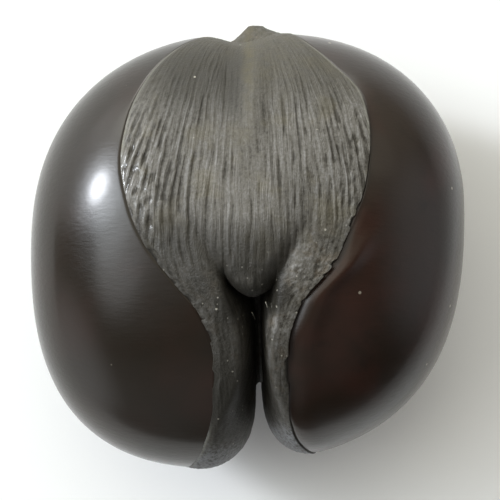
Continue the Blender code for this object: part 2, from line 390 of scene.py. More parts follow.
class NodeKit:
    # adds nodes to a tree and links them

    def __init__(self, tree):
        self.tree = tree

    def node(self, kind, settings=None, sockets=None, output=0):
        # one node: its settings first, then a value or a link for each socket
        made = self.tree.nodes.new(kind)
        for name, value in (settings or {}).items():
            setattr(made, name, value)
        for name, value in (sockets or {}).items():
            if isinstance(value, Link):
                self.tree.links.new(value.out, made.inputs[name])
            else:
                made.inputs[name].default_value = value
        return Link(self, made.outputs[output])

    def maths(self, operation, first, second):
        return self.node("ShaderNodeMath", dict(operation=operation), {0: first, 1: second})

    def within(self, value, low, high):
        # 0 below low, 1 above high and smooth between
        settings = dict(interpolation_type="SMOOTHSTEP")
        sockets = {"Value": value, "From Min": low, "From Max": high}
        return self.node("ShaderNodeMapRange", settings, sockets)

    def vectors(self, operation, first, second, output=0):
        sockets = {0: first, 1: second}
        return self.node("ShaderNodeVectorMath", dict(operation=operation), sockets, output)

    def colours(self, share, first, second):
        # a Mix node has its colours at sockets 6 and 7, and gives the mixed one at 2
        sockets = {0: share, 6: first, 7: second}
        return self.node("ShaderNodeMix", dict(data_type="RGBA"), sockets, 2)


class Finish(NodeKit):
    # a material whose Principled shader takes what the nodes work out

    def __init__(self, name, fixed):
        self.material = bpy.data.materials.new(name)
        self.material.use_nodes = True
        super().__init__(self.material.node_tree)
        self.shader = self.tree.nodes["Principled BSDF"]
        for socket, value in fixed.items():
            self.shader.inputs[socket].default_value = value

    def attribute(self, name):
        return self.node("ShaderNodeAttribute", dict(attribute_name=name), None, "Fac")

    def place(self):
        return self.node("ShaderNodeTexCoord", None, None, "Object")

    def surface(self):
        return self.node("ShaderNodeTexCoord", None, None, "UV")

    def scaled(self, vector, scale):
        return self.node("ShaderNodeMapping", None, {"Vector": vector, "Scale": scale})

    def noise(self, vector, scale, detail=2.0, roughness=0.5):
        sockets = {"Vector": vector, "Scale": scale, "Detail": detail, "Roughness": roughness}
        return self.node("ShaderNodeTexNoise", None, sockets)

    def specks(self, vector, scale, kept, size):
        # small round specks in a share of the cells of a Voronoi pattern
        sharp = 0.002
        sockets = {"Vector": vector, "Scale": scale}
        distance = self.node("ShaderNodeTexVoronoi", None, sockets, "Distance")
        cell = self.node("ShaderNodeTexVoronoi", None, sockets, "Color")
        chance = self.node("ShaderNodeSeparateColor", None, {"Color": cell})
        chosen = self.within(chance, 1 - kept, 1 - kept + sharp)
        return chosen * (1 - self.within(distance, size / 2, size))

    def drive(self, socket, link):
        self.tree.links.new(link.out, self.shader.inputs[socket])

    def bump(self, height, strength, distance):
        sockets = {"Height": height, "Strength": strength, "Distance": distance}
        self.drive("Normal", self.node("ShaderNodeBump", None, sockets, "Normal"))


def tone(red, green, blue):
    # colour from its display values, 0 to 255
    displayGamma = 2.2
    return tuple((c / 255) ** displayGamma for c in (red, green, blue)) + (1,)


# In the finishes a noise holds its scale, detail and roughness, specks hold their scale, the
# share of cells that have one and its size, and a fade is where a noise starts and ends to
# bring something in.
polish = dict(
    darkBrown=tone(32, 26, 18),
    redBrown=tone(49, 31, 24),
    blackBrown=tone(22, 18, 13),
    dust=tone(150, 142, 128),
    fixed={"Coat Weight": 0.5, "Coat Roughness": 0.16, "Coat IOR": 1.5, "Specular IOR Level": 0.25},
    redNoise=(14, 3.0, 0.55),
    redFade=(0.42, 0.68),
    redStrength=0.3,
    redderAtRight=0.5,
    redAtRight=0.2,
    rightwards=(-60 * mm, 50 * mm),
    blackNoise=(60, 4.0, 0.6),
    blackFade=(0.55, 0.8),
    blackStrength=0.5,
    dustSpecks=(130, 0.05, 0.16),
    dustStrength=0.7,
    brushNoise=(480, 3.0, 0.65),
    brushStretch=(0.2, 1.0, 0.6),
    roughNoise=(35, 3.0),
    roughness=0.2,
    rougherPatches=0.12,
    rougherBrushed=0.12,
    bumpNoise=(90, 3.0, 0.5),
    brushBump=2.0,
    bumpStrength=0.08,
    bumpDistance=1.0 * mm,
)


def polishedFinish():
    s = polish
    f = Finish("polishedShell", s["fixed"])
    place = f.place()
    right = f.within(f.node("ShaderNodeSeparateXYZ", None, {"Vector": place}, "X"), *s["rightwards"])
    patches = f.within(f.noise(place, *s["redNoise"]), *s["redFade"])
    red = patches * (s["redStrength"] + right * s["redderAtRight"]) + right * s["redAtRight"]
    colour = f.colours(red, s["darkBrown"], s["redBrown"])
    black = f.within(f.noise(place, *s["blackNoise"]), *s["blackFade"])
    colour = f.colours(black * s["blackStrength"], colour, s["blackBrown"])
    colour = f.colours(f.specks(place, *s["dustSpecks"]) * s["dustStrength"], colour, s["dust"])
    f.drive("Base Color", colour)
    brushed = f.noise(f.scaled(place, s["brushStretch"]), *s["brushNoise"])
    patchy = f.noise(place, *s["roughNoise"]) * s["rougherPatches"]
    f.drive("Roughness", s["roughness"] + patchy + brushed * s["rougherBrushed"])
    relief = f.noise(place, *s["bumpNoise"]) + brushed * s["brushBump"]
    f.bump(relief, s["bumpStrength"], s["bumpDistance"])
    return f.material


shellMesh = dict(
    rows=240,
    columns=176,
    # where the rows lie closer together: how much, at what angle and how far round it
    rowCrowding=((1.3, 0, 14), (1.3, 360, 14), (1.8, 107, 9), (0.5, 180, 30)),
    grooveSteps=[step * mm for step in (0.2, 0.5, 0.8, 1.2, 1.7, 2.4, 3.4, 5)],
    shellCount=56,
    sink=1.3 * mm,
    sinkEdge=(-2.5 * mm, -0.6 * mm),
    grooveDepth={-1: 0.45 * mm, 1: 0.6 * mm},
    groovePlace=(0.2 * mm, 0.8 * mm),
    grooveFade={-1: (104, 122), 1: (176, 200)},
    grooveGap=(137, 10),
    grooveGapShare=0.85,
    gapDepth=1.0 * mm,
    gapPlace=(1.4 * mm, 2.4 * mm),
    gapAngles=(84, 94, 118, 130),
    lipHeight=2.0 * mm,
    lipLowHeight=0.8 * mm,
    lipRise=(1.5 * mm, 12.0 * mm),
    lipWidth=8.0 * mm,
    lipAngles=(92, 103, 150, 172),
    lipDrop=(112, 122),
)


def polishedShell():
    # whole closed nut; its raw band lies a little deep, under the fibrous layer
    s = shellMesh
    rawColumns = s["columns"] // 2 - len(s["grooveSteps"]) - s["shellCount"]
    rawShares = np.linspace(0, 1, rawColumns + 1)

    def crowding(a):
        return 1 + sum(more * hill(a, *place) for more, *place in s["rowCrowding"])

    angles = crowdedAngles(s["rows"], crowding)
    places, paths, shares, edges = nutRows(angles, rawShares, s["grooveSteps"], s["shellCount"])
    normals = gridNormals(places)
    half = s["columns"] // 2
    edge = np.where(np.arange(s["columns"] + 1) < half, edges[:, :1], edges[:, 1:])
    beyond = np.abs(paths) - edge
    sink = s["sink"] * (1 - smoothStep(*s["sinkEdge"], beyond))
    a = angles[:, None]
    grooves = [s["grooveDepth"][side] * (1 - smoothStep(*s["grooveFade"][side], a)) for side in (-1, 1)]
    groove = np.where(paths < 0, *grooves) * hill(beyond, *s["groovePlace"])
    groove = groove * (1 - s["grooveGapShare"] * hill(a, *s["grooveGap"]))
    gap = between(a, *s["gapAngles"]) * (paths > 0)
    groove = groove + s["gapDepth"] * hill(beyond, *s["gapPlace"]) * gap
    lip = blend(s["lipHeight"], s["lipLowHeight"], smoothStep(*s["lipDrop"], a))
    lip = lip * between(a, *s["lipAngles"])
    away = np.maximum(beyond - s["lipRise"][1], 0)
    lip = lip * (paths > 0) * smoothStep(*s["lipRise"], beyond) * hill(away, 0, s["lipWidth"])
    places = places - normals * (sink + groove - lip)[..., None]
    bm = bmesh.new()
    bmesh.ops.create_uvsphere(bm, u_segments=s["rows"], v_segments=s["columns"], radius=1)
    for vert in bm.verts:
        column = round(math.acos(max(-1, min(1, -vert.co.z))) / math.pi * s["columns"])
        row = round(math.atan2(vert.co.y, vert.co.x) / (2 * math.pi) * s["rows"]) % s["rows"]
        vert.co = places[row, column] + np.array(nutForm["moveToRest"])
    bmesh.ops.recalc_face_normals(bm, faces=bm.faces)
    everything = bm.verts[:] + bm.edges[:] + bm.faces[:]
    surface = dict(plane_co=(0, 0, 0), plane_no=(0, 0, -1))  # what the nut lies on
    bmesh.ops.bisect_plane(bm, geom=everything, clear_outer=True, **surface)
    rims = [e for e in bm.edges if e.is_boundary]
    bmesh.ops.holes_fill(bm, edges=rims, sides=0)
    return newPiece("polishedShell", bm, polishedFinish())


# Names that end in Run hold a noise in the fibres' own run: how it is stretched across and
# along them, its detail and its roughness.
fibre = dict(
    crest=tone(124, 122, 119),
    flank=tone(98, 95, 89),
    valley=tone(56, 53, 47),
    tan=tone(110, 103, 80),
    brown=tone(104, 92, 76),
    edgeHighlight=tone(114, 113, 104),
    frost=tone(122, 124, 128),
    dust=tone(205, 200, 186),
    # dark tone of painted shade, mixed in where the painted light map is low
    hollow=tone(38, 36, 31),
    fixed={"Specular IOR Level": 0.3},
    strandRun=((3.4, 0.35, 1.0), 2.0, 0.55),
    hairRun=((8.0, 0.9, 1.0), 1.0, 0.5),
    strandFade=(0.3, 0.7),
    strandShare=0.65,
    hairShare=0.35,
    fineDepth=0.12,
    fineWhereCoarse=0.3,
    calmWhereGrainy=0.85,
    mottleNoise=(460, 3.0, 0.65),
    mottleDepth=0.85,
    mottleWhereGrainy=0.5,
    driftRun=((0.55, 0.16, 1.0), 3.0, 0.6),
    driftDepth=0.9,
    flankFade=(0.1, 0.55),
    crestFade=(0.5, 0.95),
    tanNoise=(140, 3.0, 0.6),
    tanFade=(0.35, 0.6),
    tanStrength=0.35,
    tanWherePatchy=0.8,
    goldenNoise=(48, 3.0, 0.6),
    goldenFade=(0.5, 0.68),
    goldenStrength=0.24,
    goldenLostInGrain=0.6,
    grainNoise=(760, 2.0, 0.6),
    grainFade=(0.35, 0.65),
    grainStrength=0.18,
    brownNoise=(110, 3.0, 0.6),
    brownFade=(0.48, 0.66),
    brownStrength=0.32,
    dustSpecks=(210, 0.015, 0.2),
    dustStrength=0.5,
    grainSpecks=(330, 0.13, 0.24),
    grainSpeckStrength=0.32,
    frostFade=(0.46, 0.72),
    frostLift=0.2,
    frostSpecks=(420, 0.3, 0.35),
    frostSpeckStrength=0.7,
    roughness=0.6,
    smootherCrests=0.12,
    smootherWorn=0.26,
    wornNoise=(260, 2.0),
    wornFade=(0.35, 0.6),
    fineBump=1.2,
    grainBump=0.15,
    mottleBump=0.25,
    mottleBumpInGrain=0.1,
    bumpStrength=0.8,
    bumpDistance=0.9 * mm,
)


def fibrousFinish():
    s = fibre
    f = Finish("rawFibres", s["fixed"])
    place = f.place()
    run = f.surface()  # x counts the fibres, y is the length along them in centimetres
    crest, coarse, grainy = f.attribute("crest"), f.attribute("coarse"), f.attribute("grainy")
    worn, frost = f.attribute("worn"), f.attribute("frost")

    def alongFibres(name):
        stretch, detail, roughness = s[name]
        return f.noise(f.scaled(run, stretch), 1.0, detail, roughness)

    def patches(name):
        return f.within(f.noise(place, *s[name + "Noise"]), *s[name + "Fade"])

    strands = f.within(alongFibres("strandRun"), *s["strandFade"]) * s["strandShare"]
    hairs = f.within(alongFibres("hairRun"), *s["strandFade"]) * s["hairShare"]
    fine = (strands + hairs - 0.5) * (s["fineDepth"] + coarse * s["fineWhereCoarse"])
    fine = fine * (1 - grainy * s["calmWhereGrainy"])
    mottle = f.noise(place, *s["mottleNoise"])
    grains = patches("grain")
    mottled = (mottle - 0.5) * (s["mottleDepth"] + grainy * s["mottleWhereGrainy"])
    height = crest + fine + mottled + (alongFibres("driftRun") - 0.5) * s["driftDepth"]
    # lighter on the crests and darker in the valleys: the fibres' own tone, with painted shade in the
    # valleys
    colour = f.colours(f.within(height, *s["flankFade"]), s["valley"], s["flank"])
    colour = f.colours(f.within(height, *s["crestFade"]), colour, s["crest"])
    golden = patches("golden") * (1 - grainy * s["goldenLostInGrain"]) * s["goldenStrength"]
    patchy = s["tanStrength"] + patches("tan") * s["tanWherePatchy"]
    colour = f.colours(f.attribute("tan") * patchy + golden, colour, s["tan"])
    colour = f.colours(grains * s["grainStrength"], colour, s["valley"])
    colour = f.colours(patches("brown") * grainy * s["brownStrength"], colour, s["brown"])
    # painted light and shade: the light map mixes the colour towards the dark shade tone
    colour = f.colours(1 - f.attribute("light"), colour, s["hollow"])
    colour = f.colours(f.specks(place, *s["dustSpecks"]) * s["dustStrength"], colour, s["dust"])
    specks = f.specks(place, *s["grainSpecks"]) * grainy * s["grainSpeckStrength"]
    colour = f.colours(specks, colour, s["dust"])
    frosted = frost * f.within(mottle + frost * s["frostLift"], *s["frostFade"])
    colour = f.colours(frosted, colour, s["frost"])
    specks = f.specks(place, *s["frostSpecks"]) * frost * s["frostSpeckStrength"]
    colour = f.colours(specks, colour, s["valley"])
    # painted highlights: light lines along the raw layer's upper edges and along its left seam
    colour = f.colours(f.attribute("edgeHighlight"), colour, s["edgeHighlight"])
    f.drive("Base Color", colour)
    f.drive("Roughness", s["roughness"] - crest * s["smootherCrests"] - worn * s["smootherWorn"])
    f.drive("Coat Weight", worn * patches("worn"))
    relief = fine * s["fineBump"] + grains * s["grainBump"]
    relief = relief + mottle * (s["mottleBump"] + grainy * s["mottleBumpInGrain"])
    f.bump(relief, s["bumpStrength"], s["bumpDistance"])
    return f.material


# The raw layer. Its noises hold the cells to a fibre, the length of a cell and a seed; the
# rags and pits hold a share too, and count their cells to the whole edge and to a millimetre.
# An amount that grows or fades stands before the two angles or distances of the change.
rind = dict(
    rows=300,
    outerColumns=280,
    innerColumns=28,
    leastCrowded=0.25,
    crowdedFront=0.85,
    frontAngles=(108, 116, 354, 360),
    crowdedUnderLobes=(0.5, 190, 215),
    crowdedMouth=(0.9, 106, 5),
    inset=2.6 * mm,
    wallDrop=0.6 * mm,
    thickness=1.4 * mm,
    thinnest=0.25,
    thinNearStalk=(12, 48),
    thinPlaces=((0.5, 180, 25), (0.4, 270, 45)),
    fewestCells=4,
    fibresPerSide=17,
    followEdgeShare=0.5,
    followEdgeLeast=4 * mm,
    swings=((0.6, 3.1, 60 * mm, 3), (0.3, 1.4, 20 * mm, 5)),
    creaseLeast=0.25,
    creaseFade=(0.3, 0.65),
    creaseCells=3.7,
    ribs=(22 * mm, 6),
    ribPower=0.8,
    ribPowerAtSides=0.5,
    ribDepth=0.75,
    thins=(14 * mm, 8),
    thinPower=0.7,
    thinSwing=0.7,
    thinNoise=(0.8, 20 * mm, 7),
    thinDepth=0.42,
    thinLess=(0.17, 50, 75),
    grainNoise=(3.1, 9 * mm, 9),
    grainDepth=0.2,
    slotNoise=(1.5, 7.0 * mm, 11),
    slotFade=(0.56, 0.74),
    slotDepth=0.4,
    middleHeight=0.6,
    reliefDepth=1.3 * mm,
    lostInGrain=0.7,
    pits=((1 / 3, 4.0 * mm, 21, 0.65), (2 / 3, 2.2 * mm, 22, 0.35)),
    pitDepth=0.65 * mm,
    crestLeast=0.2,
    edgeHeight={-1: 0.35 * mm, 1: 1.5 * mm},
    edgeAtStalk=0.3,
    edgeRise=(15, 50),
    edgeLower=(0.4, 120, 150),
    edgeRelief=0.3,
    edgeRound=5.0 * mm,
    rags=((3.3, 6.0 * mm, 31, 0.6), (5.3, 2.4 * mm, 32, 0.4)),
    raggedness={-1: 1.2 * mm, 1: 1.6 * mm},
    chipNoise=(7.3, 7.0 * mm, 33),
    chipFade=(0.52, 0.62),
    chipDepth={-1: 3.0 * mm, 1: 2.6 * mm},
    raggedAngles=(82, 94, 122, 136),
    raggedWidth=6 * mm,
)

# How boldly the fibres stand out from place to place.
boldness = dict(
    sidesFrom=(20 * mm, 74 * mm),
    middleTo=(4 * mm, 28 * mm),
    least=0.14,
    offMiddle=(0.5, 18, 48),
    atMiddle=(0.45, 58, 78),
    sidesCalmer=(0.5, 46, 62),
    sidesBolder=(0.42, 50, 72),
    calmerBelow=(0.2, 82, 96),
    calmerRight=0.2,
    calmerRightTop=(0.62, 34, 56),
    stripe=(0.5 * mm, 7 * mm),
    calmerStripe=(0.6, 72, 84),
    patchAcross=(48 * mm, 18 * mm),
    patchAlong=(8 * mm, 15 * mm),
    calmerPatch=0.35,
)

# Where the fibres give way to grain: below the face, at its foot, at the stalk and inside
# the hollow.
graininess = dict(
    starts={-1: 90, 1: 86},
    ends={-1: 104, 1: 98},
    besideCrease=(-5 * mm, 6 * mm),
    foot=(0.6, 4 * mm, -18 * mm),
    stalk=(0.8, 10, 24),
    hollow=(103, 108),
    behind=(335, 360),
)


def fibreCount(angles, paths, edges):
    # which fibre each point lies on, counted from the middle; on the lobes' strips they
    # are counted from the raw layer's edge, so that they run along the strip
    r = rind
    side = np.where(paths < 0, -1, 1)

    def sideCurve(curves):
        return bySide(side, {turn: curve(angles)[:, None] for turn, curve in curves.items()}) * mm

    fan, reach = sideCurve(fibreFan), sideCurve(rawEdge)
    edge = np.where(side < 0, edges[:, :1], edges[:, 1:])
    inward = edge - np.abs(paths)
    half = cleftHalfWidth(angles)[:, None] * mm
    width = r["followEdgeShare"] * (edge - reach) + r["followEdgeLeast"]
    beside = smoothStep(0, width, np.abs(paths) - half)
    count = blend(np.abs(paths), reach - inward, beside) / fan * r["fibresPerSide"]
    return side * count, side, inward


def fibreBoldness(x, y, a, side, paths):
    # the boldness at each point, and how far out at the sides it is
    b = boldness
    right = side > 0
    middle = 1 - smoothStep(*b["middleTo"], np.abs(paths))
    atSides = smoothStep(*b["sidesFrom"], np.abs(paths))
    bold = b["least"] + growing(b["offMiddle"], a) * (1 - middle) + growing(b["atMiddle"], a) * middle
    bold = bold * (1 - fading(b["sidesCalmer"], a) * atSides) + growing(b["sidesBolder"], a) * atSides
    bold = bold * (1 - growing(b["calmerBelow"], a)) * (1 - b["calmerRight"] * atSides * right)
    bold = bold * (1 - fading(b["calmerRightTop"], a) * right)
    bold = bold * (1 - fading(b["calmerStripe"], a) * hill(x, *b["stripe"]))
    inPatch = hill(x, *b["patchAcross"]) * hill(y, *b["patchAlong"])
    return bold * (1 - b["calmerPatch"] * inPatch), atSides


def grainShare(y, a, side, paths):
    # 0 where the layer is all fibres, 1 where it is all grain
    g, f = graininess, faceRelief
    crease = f["creaseStart"][0] + (y - f["creaseStart"][1]) * f["creaseLean"]
    beside = smoothStep(*g["besideCrease"], np.abs(paths) - np.maximum(crease, 0))
    grainy = smoothStep(bySide(side, g["starts"]), bySide(side, g["ends"]), a) * beside
    grainy = np.maximum(grainy, growing(g["foot"], y))
    grainy = np.maximum(grainy, fading(g["stalk"], a))
    return np.maximum(grainy, smoothStep(*g["hollow"], a)) * (1 - smoothStep(*g["behind"], a))


def rindHeights(places, angles, paths, edges, lengthAlong):
    # how far the raw layer stands over the smooth nut, the marks that its finish reads, how
    # far its ragged edge stands out sideways, the fibre count and the way in from the edge
    r = rind
    total = lengthAlong[-1]
    v = lengthAlong[:-1, None] * np.ones_like(paths)
    a = angles[:, None]
    x, y = places[..., 0], places[..., 1]
    count, side, inward = fibreCount(angles, paths, edges)

    def wander(across, step, seed):
        # noise in cells of a length of step that meets itself behind the stalk
        cells = max(r["fewestCells"], round(total / step))
        return softNoise(across, v / total * cells, seed, cells)

    def layered(across, rows):
        # several noises in one, about 0
        return sum(share * wander(across * cells, step, seed) for cells, step, seed, share in rows) - 0.5

    def creases(count, power, step, seed):
        # narrow valleys at whole counts, each with a depth that changes along it
        swell = smoothStep(*r["creaseFade"], wander(np.round(count) * r["creaseCells"], step, seed))
        depth = blend(r["creaseLeast"], 1, swell)
        return (1 - np.abs(np.sin(np.pi * count)) ** power) * depth

    def fibreNoise(name):
        cells, step, seed = r[name]
        return wander(count * cells, step, seed)

    bold, atSides = fibreBoldness(x, y, a, side, paths)
    grainy = grainShare(y, a, side, paths)
    straight = count
    for swing, fibres, step, seed in r["swings"]:
        count = count + swing * (wander(straight / fibres, step, seed) - 0.5)
    ribs = 1 - creases(count, r["ribPower"] + r["ribPowerAtSides"] * atSides, *r["ribs"])
    thin = creases(2 * count + r["thinSwing"] * fibreNoise("thinNoise"), r["thinPower"], *r["thins"])
    slots = smoothStep(*r["slotFade"], fibreNoise("slotNoise")) * atSides
    height = r["ribDepth"] * ribs - (r["thinDepth"] - growing(r["thinLess"], a)) * thin
    height = height + r["grainDepth"] * fibreNoise("grainNoise") - r["slotDepth"] * slots
    height = (height - r["middleHeight"]) * (1 - r["lostInGrain"] * grainy)
    pits = layered(x / mm, r["pits"])
    relief = bold * r["reliefDepth"] * height + grainy * r["pitDepth"] * pits
    crest = 0.5 + height * blend(r["crestLeast"], 1, bold) + pits * grainy
    low = blend(r["thinnest"], 1, smoothStep(*r["thinNearStalk"], np.minimum(a, 360 - a)))
    for less, *place in r["thinPlaces"]:
        low = low * (1 - less * hill(a, *place))
    atEdge = bySide(side, r["edgeHeight"]) * blend(r["edgeAtStalk"], 1, smoothStep(*r["edgeRise"], a))
    atEdge = atEdge * (1 - growing(r["edgeLower"], a))
    rounding = 1 - smoothStep(0, r["edgeRound"], inward)
    lift = blend(r["thickness"] * low + relief, atEdge + r["edgeRelief"] * relief, rounding)
    cells, step, seed = r["chipNoise"]
    chips = smoothStep(*r["chipFade"], wander(side * cells, step, seed))
    rag = layered(side, r["rags"]) * bySide(side, r["raggedness"]) - chips * bySide(side, r["chipDepth"])
    rag = rag * between(a, *r["raggedAngles"]) * (1 - smoothStep(0, r["raggedWidth"], inward))
    marks = dict(crest=np.clip(crest, 0, 1), coarse=np.clip(bold, 0, 1), grainy=grainy)
    return lift, marks, rag * side, count, inward * side


# Patches hold where they lie across and along, how far they reach each way, and an amount.
# The light patches are painted light and shade on the raw layer: lighter above 0 and darker below it.
lightPatches = (
    (-7, 119, 4, 9, -0.6), (-38, 108, 25, 21, -1.35), (-12, 98, 7, 18, -0.95),
    (43, 104, 18, 20, -0.25), (0, 79, 26, 23, -0.1), (58, 58, 13, 26, 0.68),
    (-70, 38, 13, 26, 0.45), (0, 34, 28, 20, 0.5), (56, 16, 13, 16, 0.25),
    (-49, 0, 17, 14, -0.8), (0, -3, 22, 14, -0.82), (0, -22, 11, 9, 1.0),
    (38, -18, 13, 16, 2.0), (-32, -25, 11, 12, -0.95), (-15, -53, 11, 19, -1.08),
    (18, -66, 10, 26, 0.08), (58, 12, 12, 10, -0.15), (-15, -100, 14, 21, -3.4),
    (22, -95, 11, 30, -0.45), (13, -29, 8, 8, -3.2), (0, -35, 14, 4, -0.8),
    (19, -46, 9, 10, 0.8), (-12, -78, 8, 14, -0.5), (25, 66, 15, 17, 0.22),
    (40, 90, 14, 14, 0.12), (-48, 70, 13, 14, -0.12), (25, 30, 12, 12, -0.3),
)
# the first patch is a tan line near the stalk; the second is a painted golden reflection near the worn
# left edge
tanAndReflectionPatches = ((-2, 118, 2.5, 11, 0.5), (-84, 62, 5, 6, 0.6))

# Painted light and shade on the raw layer, with its tan, painted highlight lines, wear and frost.
shades = dict(
    light=0.86,
    paintedShadeToStalk=(0.44, 70 * mm, 118 * mm),
    paintedShadeAtFoot=(0.38, 30 * mm, -6 * mm),
    tongueHalf=15 * mm,
    tongueEnd=-24 * mm,
    tongueWidening=0.5,
    tongueSoft=8 * mm,
    tongueShadeFade=(2 * mm, -30 * mm),
    tongueAngles=(108, 112),
    tongueRag=16 * mm,
    ragCells=(4 * mm, 9 * mm),
    ragSeed=41,
    leftStripDarker=(0.55, 112, 122),
    leftStripWidth=8 * mm,
    hollowAngles=(108, 122),
    stripWalls=(0.6, 0.85),
    hollowWalls=(0.93, 0.985),
    wallPaintedShade=0.15,
    deepPaintedLight=(0.3, 0.45, 0.85),
    frontAngles=(150, 175, 352, 360),
    backLight=0.5,
    tanStripe=(-0.5 * mm, 3.5 * mm),
    tanStripeRise=(0.5, 50 * mm, 115 * mm),
    tanAtStalk=(0.32, 85 * mm, 118 * mm),
    edgeHighlightPlace=(0.9 * mm, 0.7 * mm),
    edgeHighlightAngles=(14, 24, 60, 72),
    seamHighlightPlace=(-0.8 * mm, 0.7 * mm),
    seamHighlightAngles=(136, 144, 166, 176),
    highlightStrength=0.6,
    wornStrip=(0.75, 3 * mm, 22 * mm),
    wornAngles=(66, 20),
    frostStarts={-1: -122 * mm, 1: -108 * mm},
    frostDeepens=14 * mm,
    frostBack=(0.65, 166, 190),
)


def patch(x, y, row):
    placeX, placeY, wide, tall, amount = row
    return amount * hill(x, placeX * mm, wide * mm) * hill(y, placeY * mm, tall * mm)


def rindShades(places, shares, angles, inward):
    # painted light and shade on the raw layer, its tan stripe, its painted highlight lines, where it
    # is worn smooth and where it is frosted at the lobe ends
    s = shades
    x, y = places[..., 0], places[..., 1]
    a = angles[:, None]
    left = inward < 0
    # painted shade: darker towards the stalk and at the foot of the face, where it turns from the light,
    # then the painted patches
    light = s["light"] - growing(s["paintedShadeToStalk"], y) - growing(s["paintedShadeAtFoot"], y)
    for row in lightPatches:
        light = light * np.exp(patch(x, y, row))
    # painted shade: the tongue's lower end darkens, with a ragged edge, where it turns into the hollow
    widening = np.maximum(y - s["tongueEnd"], 0) * s["tongueWidening"]
    tongue = 1 - smoothStep(0, s["tongueSoft"], np.abs(x) - s["tongueHalf"] - widening)
    wide, tall = s["ragCells"]
    ragged = y + s["tongueRag"] * (softNoise(x / wide, y / tall, s["ragSeed"]) - 0.5)
    below = smoothStep(*s["tongueShadeFade"], ragged) * (1 - smoothStep(*s["tongueAngles"], a))
    light = light * (1 - below * tongue)
    inStrip = 1 - smoothStep(0, s["leftStripWidth"], -inward)
    light = light * (1 - growing(s["leftStripDarker"], a) * left * inStrip)
    # painted shade down the walls into the hollow, and painted light lifting its deepest floor
    nearHollow = 1 - smoothStep(*s["hollowAngles"], a)
    walls = [blend(*pair, nearHollow) for pair in zip(s["stripWalls"], s["hollowWalls"])]
    proud = smoothStep(*walls, shares)
    light = blend(s["wallPaintedShade"], blend(s["backLight"], light, outside(a, *s["frontAngles"])), proud)
    light = light + fading(s["deepPaintedLight"], shares)
    tan = hill(x, *s["tanStripe"]) * growing(s["tanStripeRise"], y) + growing(s["tanAtStalk"], y)
    tan = tan + sum(patch(x, y, row) for row in tanAndReflectionPatches)
    # painted highlights: a thin light line along the upper edges and one along the left strip's seam
    edgeHighlight = hill(np.abs(inward), *s["edgeHighlightPlace"]) * between(a, *s["edgeHighlightAngles"])
    seamHighlight = hill(inward, *s["seamHighlightPlace"]) * between(a, *s["seamHighlightAngles"])
    worn = fading(s["wornStrip"], -inward) * left * hill(a, *s["wornAngles"])
    frostLine = bySide(inward, s["frostStarts"])
    frost = smoothStep(frostLine, frostLine - s["frostDeepens"], y) * fading(s["frostBack"], a)
    highlightLines = (edgeHighlight + seamHighlight) * s["highlightStrength"]
    return dict(light=np.clip(light, 0, 1), tan=tan, edgeHighlight=highlightLines, worn=worn, frost=frost)


def rindLayer():
    # closed band: fibrous outside, two edge walls and a plain inside below the shell
    r = rind
    rows, outer, inner = r["rows"], r["outerColumns"], r["innerColumns"]

    def crowding(a):
        more, *mouth = r["crowdedMouth"]
        front = r["crowdedFront"] * outside(a, *r["frontAngles"])
        return r["leastCrowded"] + front + fading(r["crowdedUnderLobes"], a) + more * hill(a, *mouth)

    angles = crowdedAngles(rows, crowding)
    places, paths, shares, edges = nutRows(angles, np.linspace(0, 1, outer // 2 + 1))
    coarse = nutRows(angles, np.linspace(0, 1, inner // 2 + 1))[0]
    normals = gridNormals(places)
    quarter = outer // 4
    steps = np.linalg.norm(np.roll(places, -1, 0) - places, axis=2)
    lengthAlong = np.concatenate([[0], np.cumsum((steps[:, quarter] + steps[:, -quarter]) / 2)])
    lift, marks, sideways, count, inward = rindHeights(places, angles, paths, edges, lengthAlong)
    across = np.gradient(places, axis=1)
    across = across / np.linalg.norm(across, axis=2, keepdims=True)
    top = places + normals * lift[..., None] + across * sideways[..., None]
    bottom = coarse - gridNormals(coarse) * r["inset"]
    wallRight = (places[:, -1] - normals[:, -1] * r["wallDrop"])[:, None]
    wallLeft = (places[:, 0] - normals[:, 0] * r["wallDrop"])[:, None]
    loop = np.concatenate([top, wallRight, bottom[:, ::-1], wallLeft], 1) + nutForm["moveToRest"]
    around = loop.shape[1]
    bm = bmesh.new()
    ring = bmesh.ops.create_circle(bm, segments=around, radius=0.5)["verts"]
    for vert in ring:
        vert.co = (1 + vert.co.x, 0, vert.co.y)
    bmesh.ops.spin(
        bm, geom=bm.verts[:] + bm.edges[:], cent=(0, 0, 0), axis=(0, 0, 1), angle=2 * math.pi,
        steps=rows, use_merge=True, use_duplicate=False,
    )
    row, column = [], []
    for vert in bm.verts:
        x, y, z = vert.co
        row.append(round(math.atan2(y, x) / (2 * math.pi) * rows) % rows)
        column.append(round(math.atan2(z, math.hypot(x, y) - 1) / (2 * math.pi) * around) % around)
        vert.co = loop[row[-1], column[-1]]
    bmesh.ops.recalc_face_normals(bm, faces=bm.faces)
    layer = newPiece("fibrousLayer", bm, fibrousFinish())
    row, column = np.array(row), np.array(column)

    def overLoop(values):
        whole = np.zeros((rows, around))
        whole[:, : outer + 1] = values
        return whole

    for name, values in {**marks, **rindShades(places, shares, angles, inward)}.items():
        pointAttribute(layer, name, overLoop(values)[row, column])
    corners = np.zeros(len(layer.data.loops), int)
    layer.data.loops.foreach_get("vertex_index", corners)
    cornerRow = row[corners].reshape(-1, 4)
    wraps = cornerRow.max(1, keepdims=True) - cornerRow > rows // 2
    cornerRow = np.where(wraps, cornerRow + rows, cornerRow).ravel()
    centimetres = 100 * lengthAlong[cornerRow]
    run = np.stack([overLoop(count)[row[corners], column[corners]], centimetres], 1)
    layer.data.uv_layers.new(name="fibreRun").data.foreach_set("uv", run.ravel())
    return layer


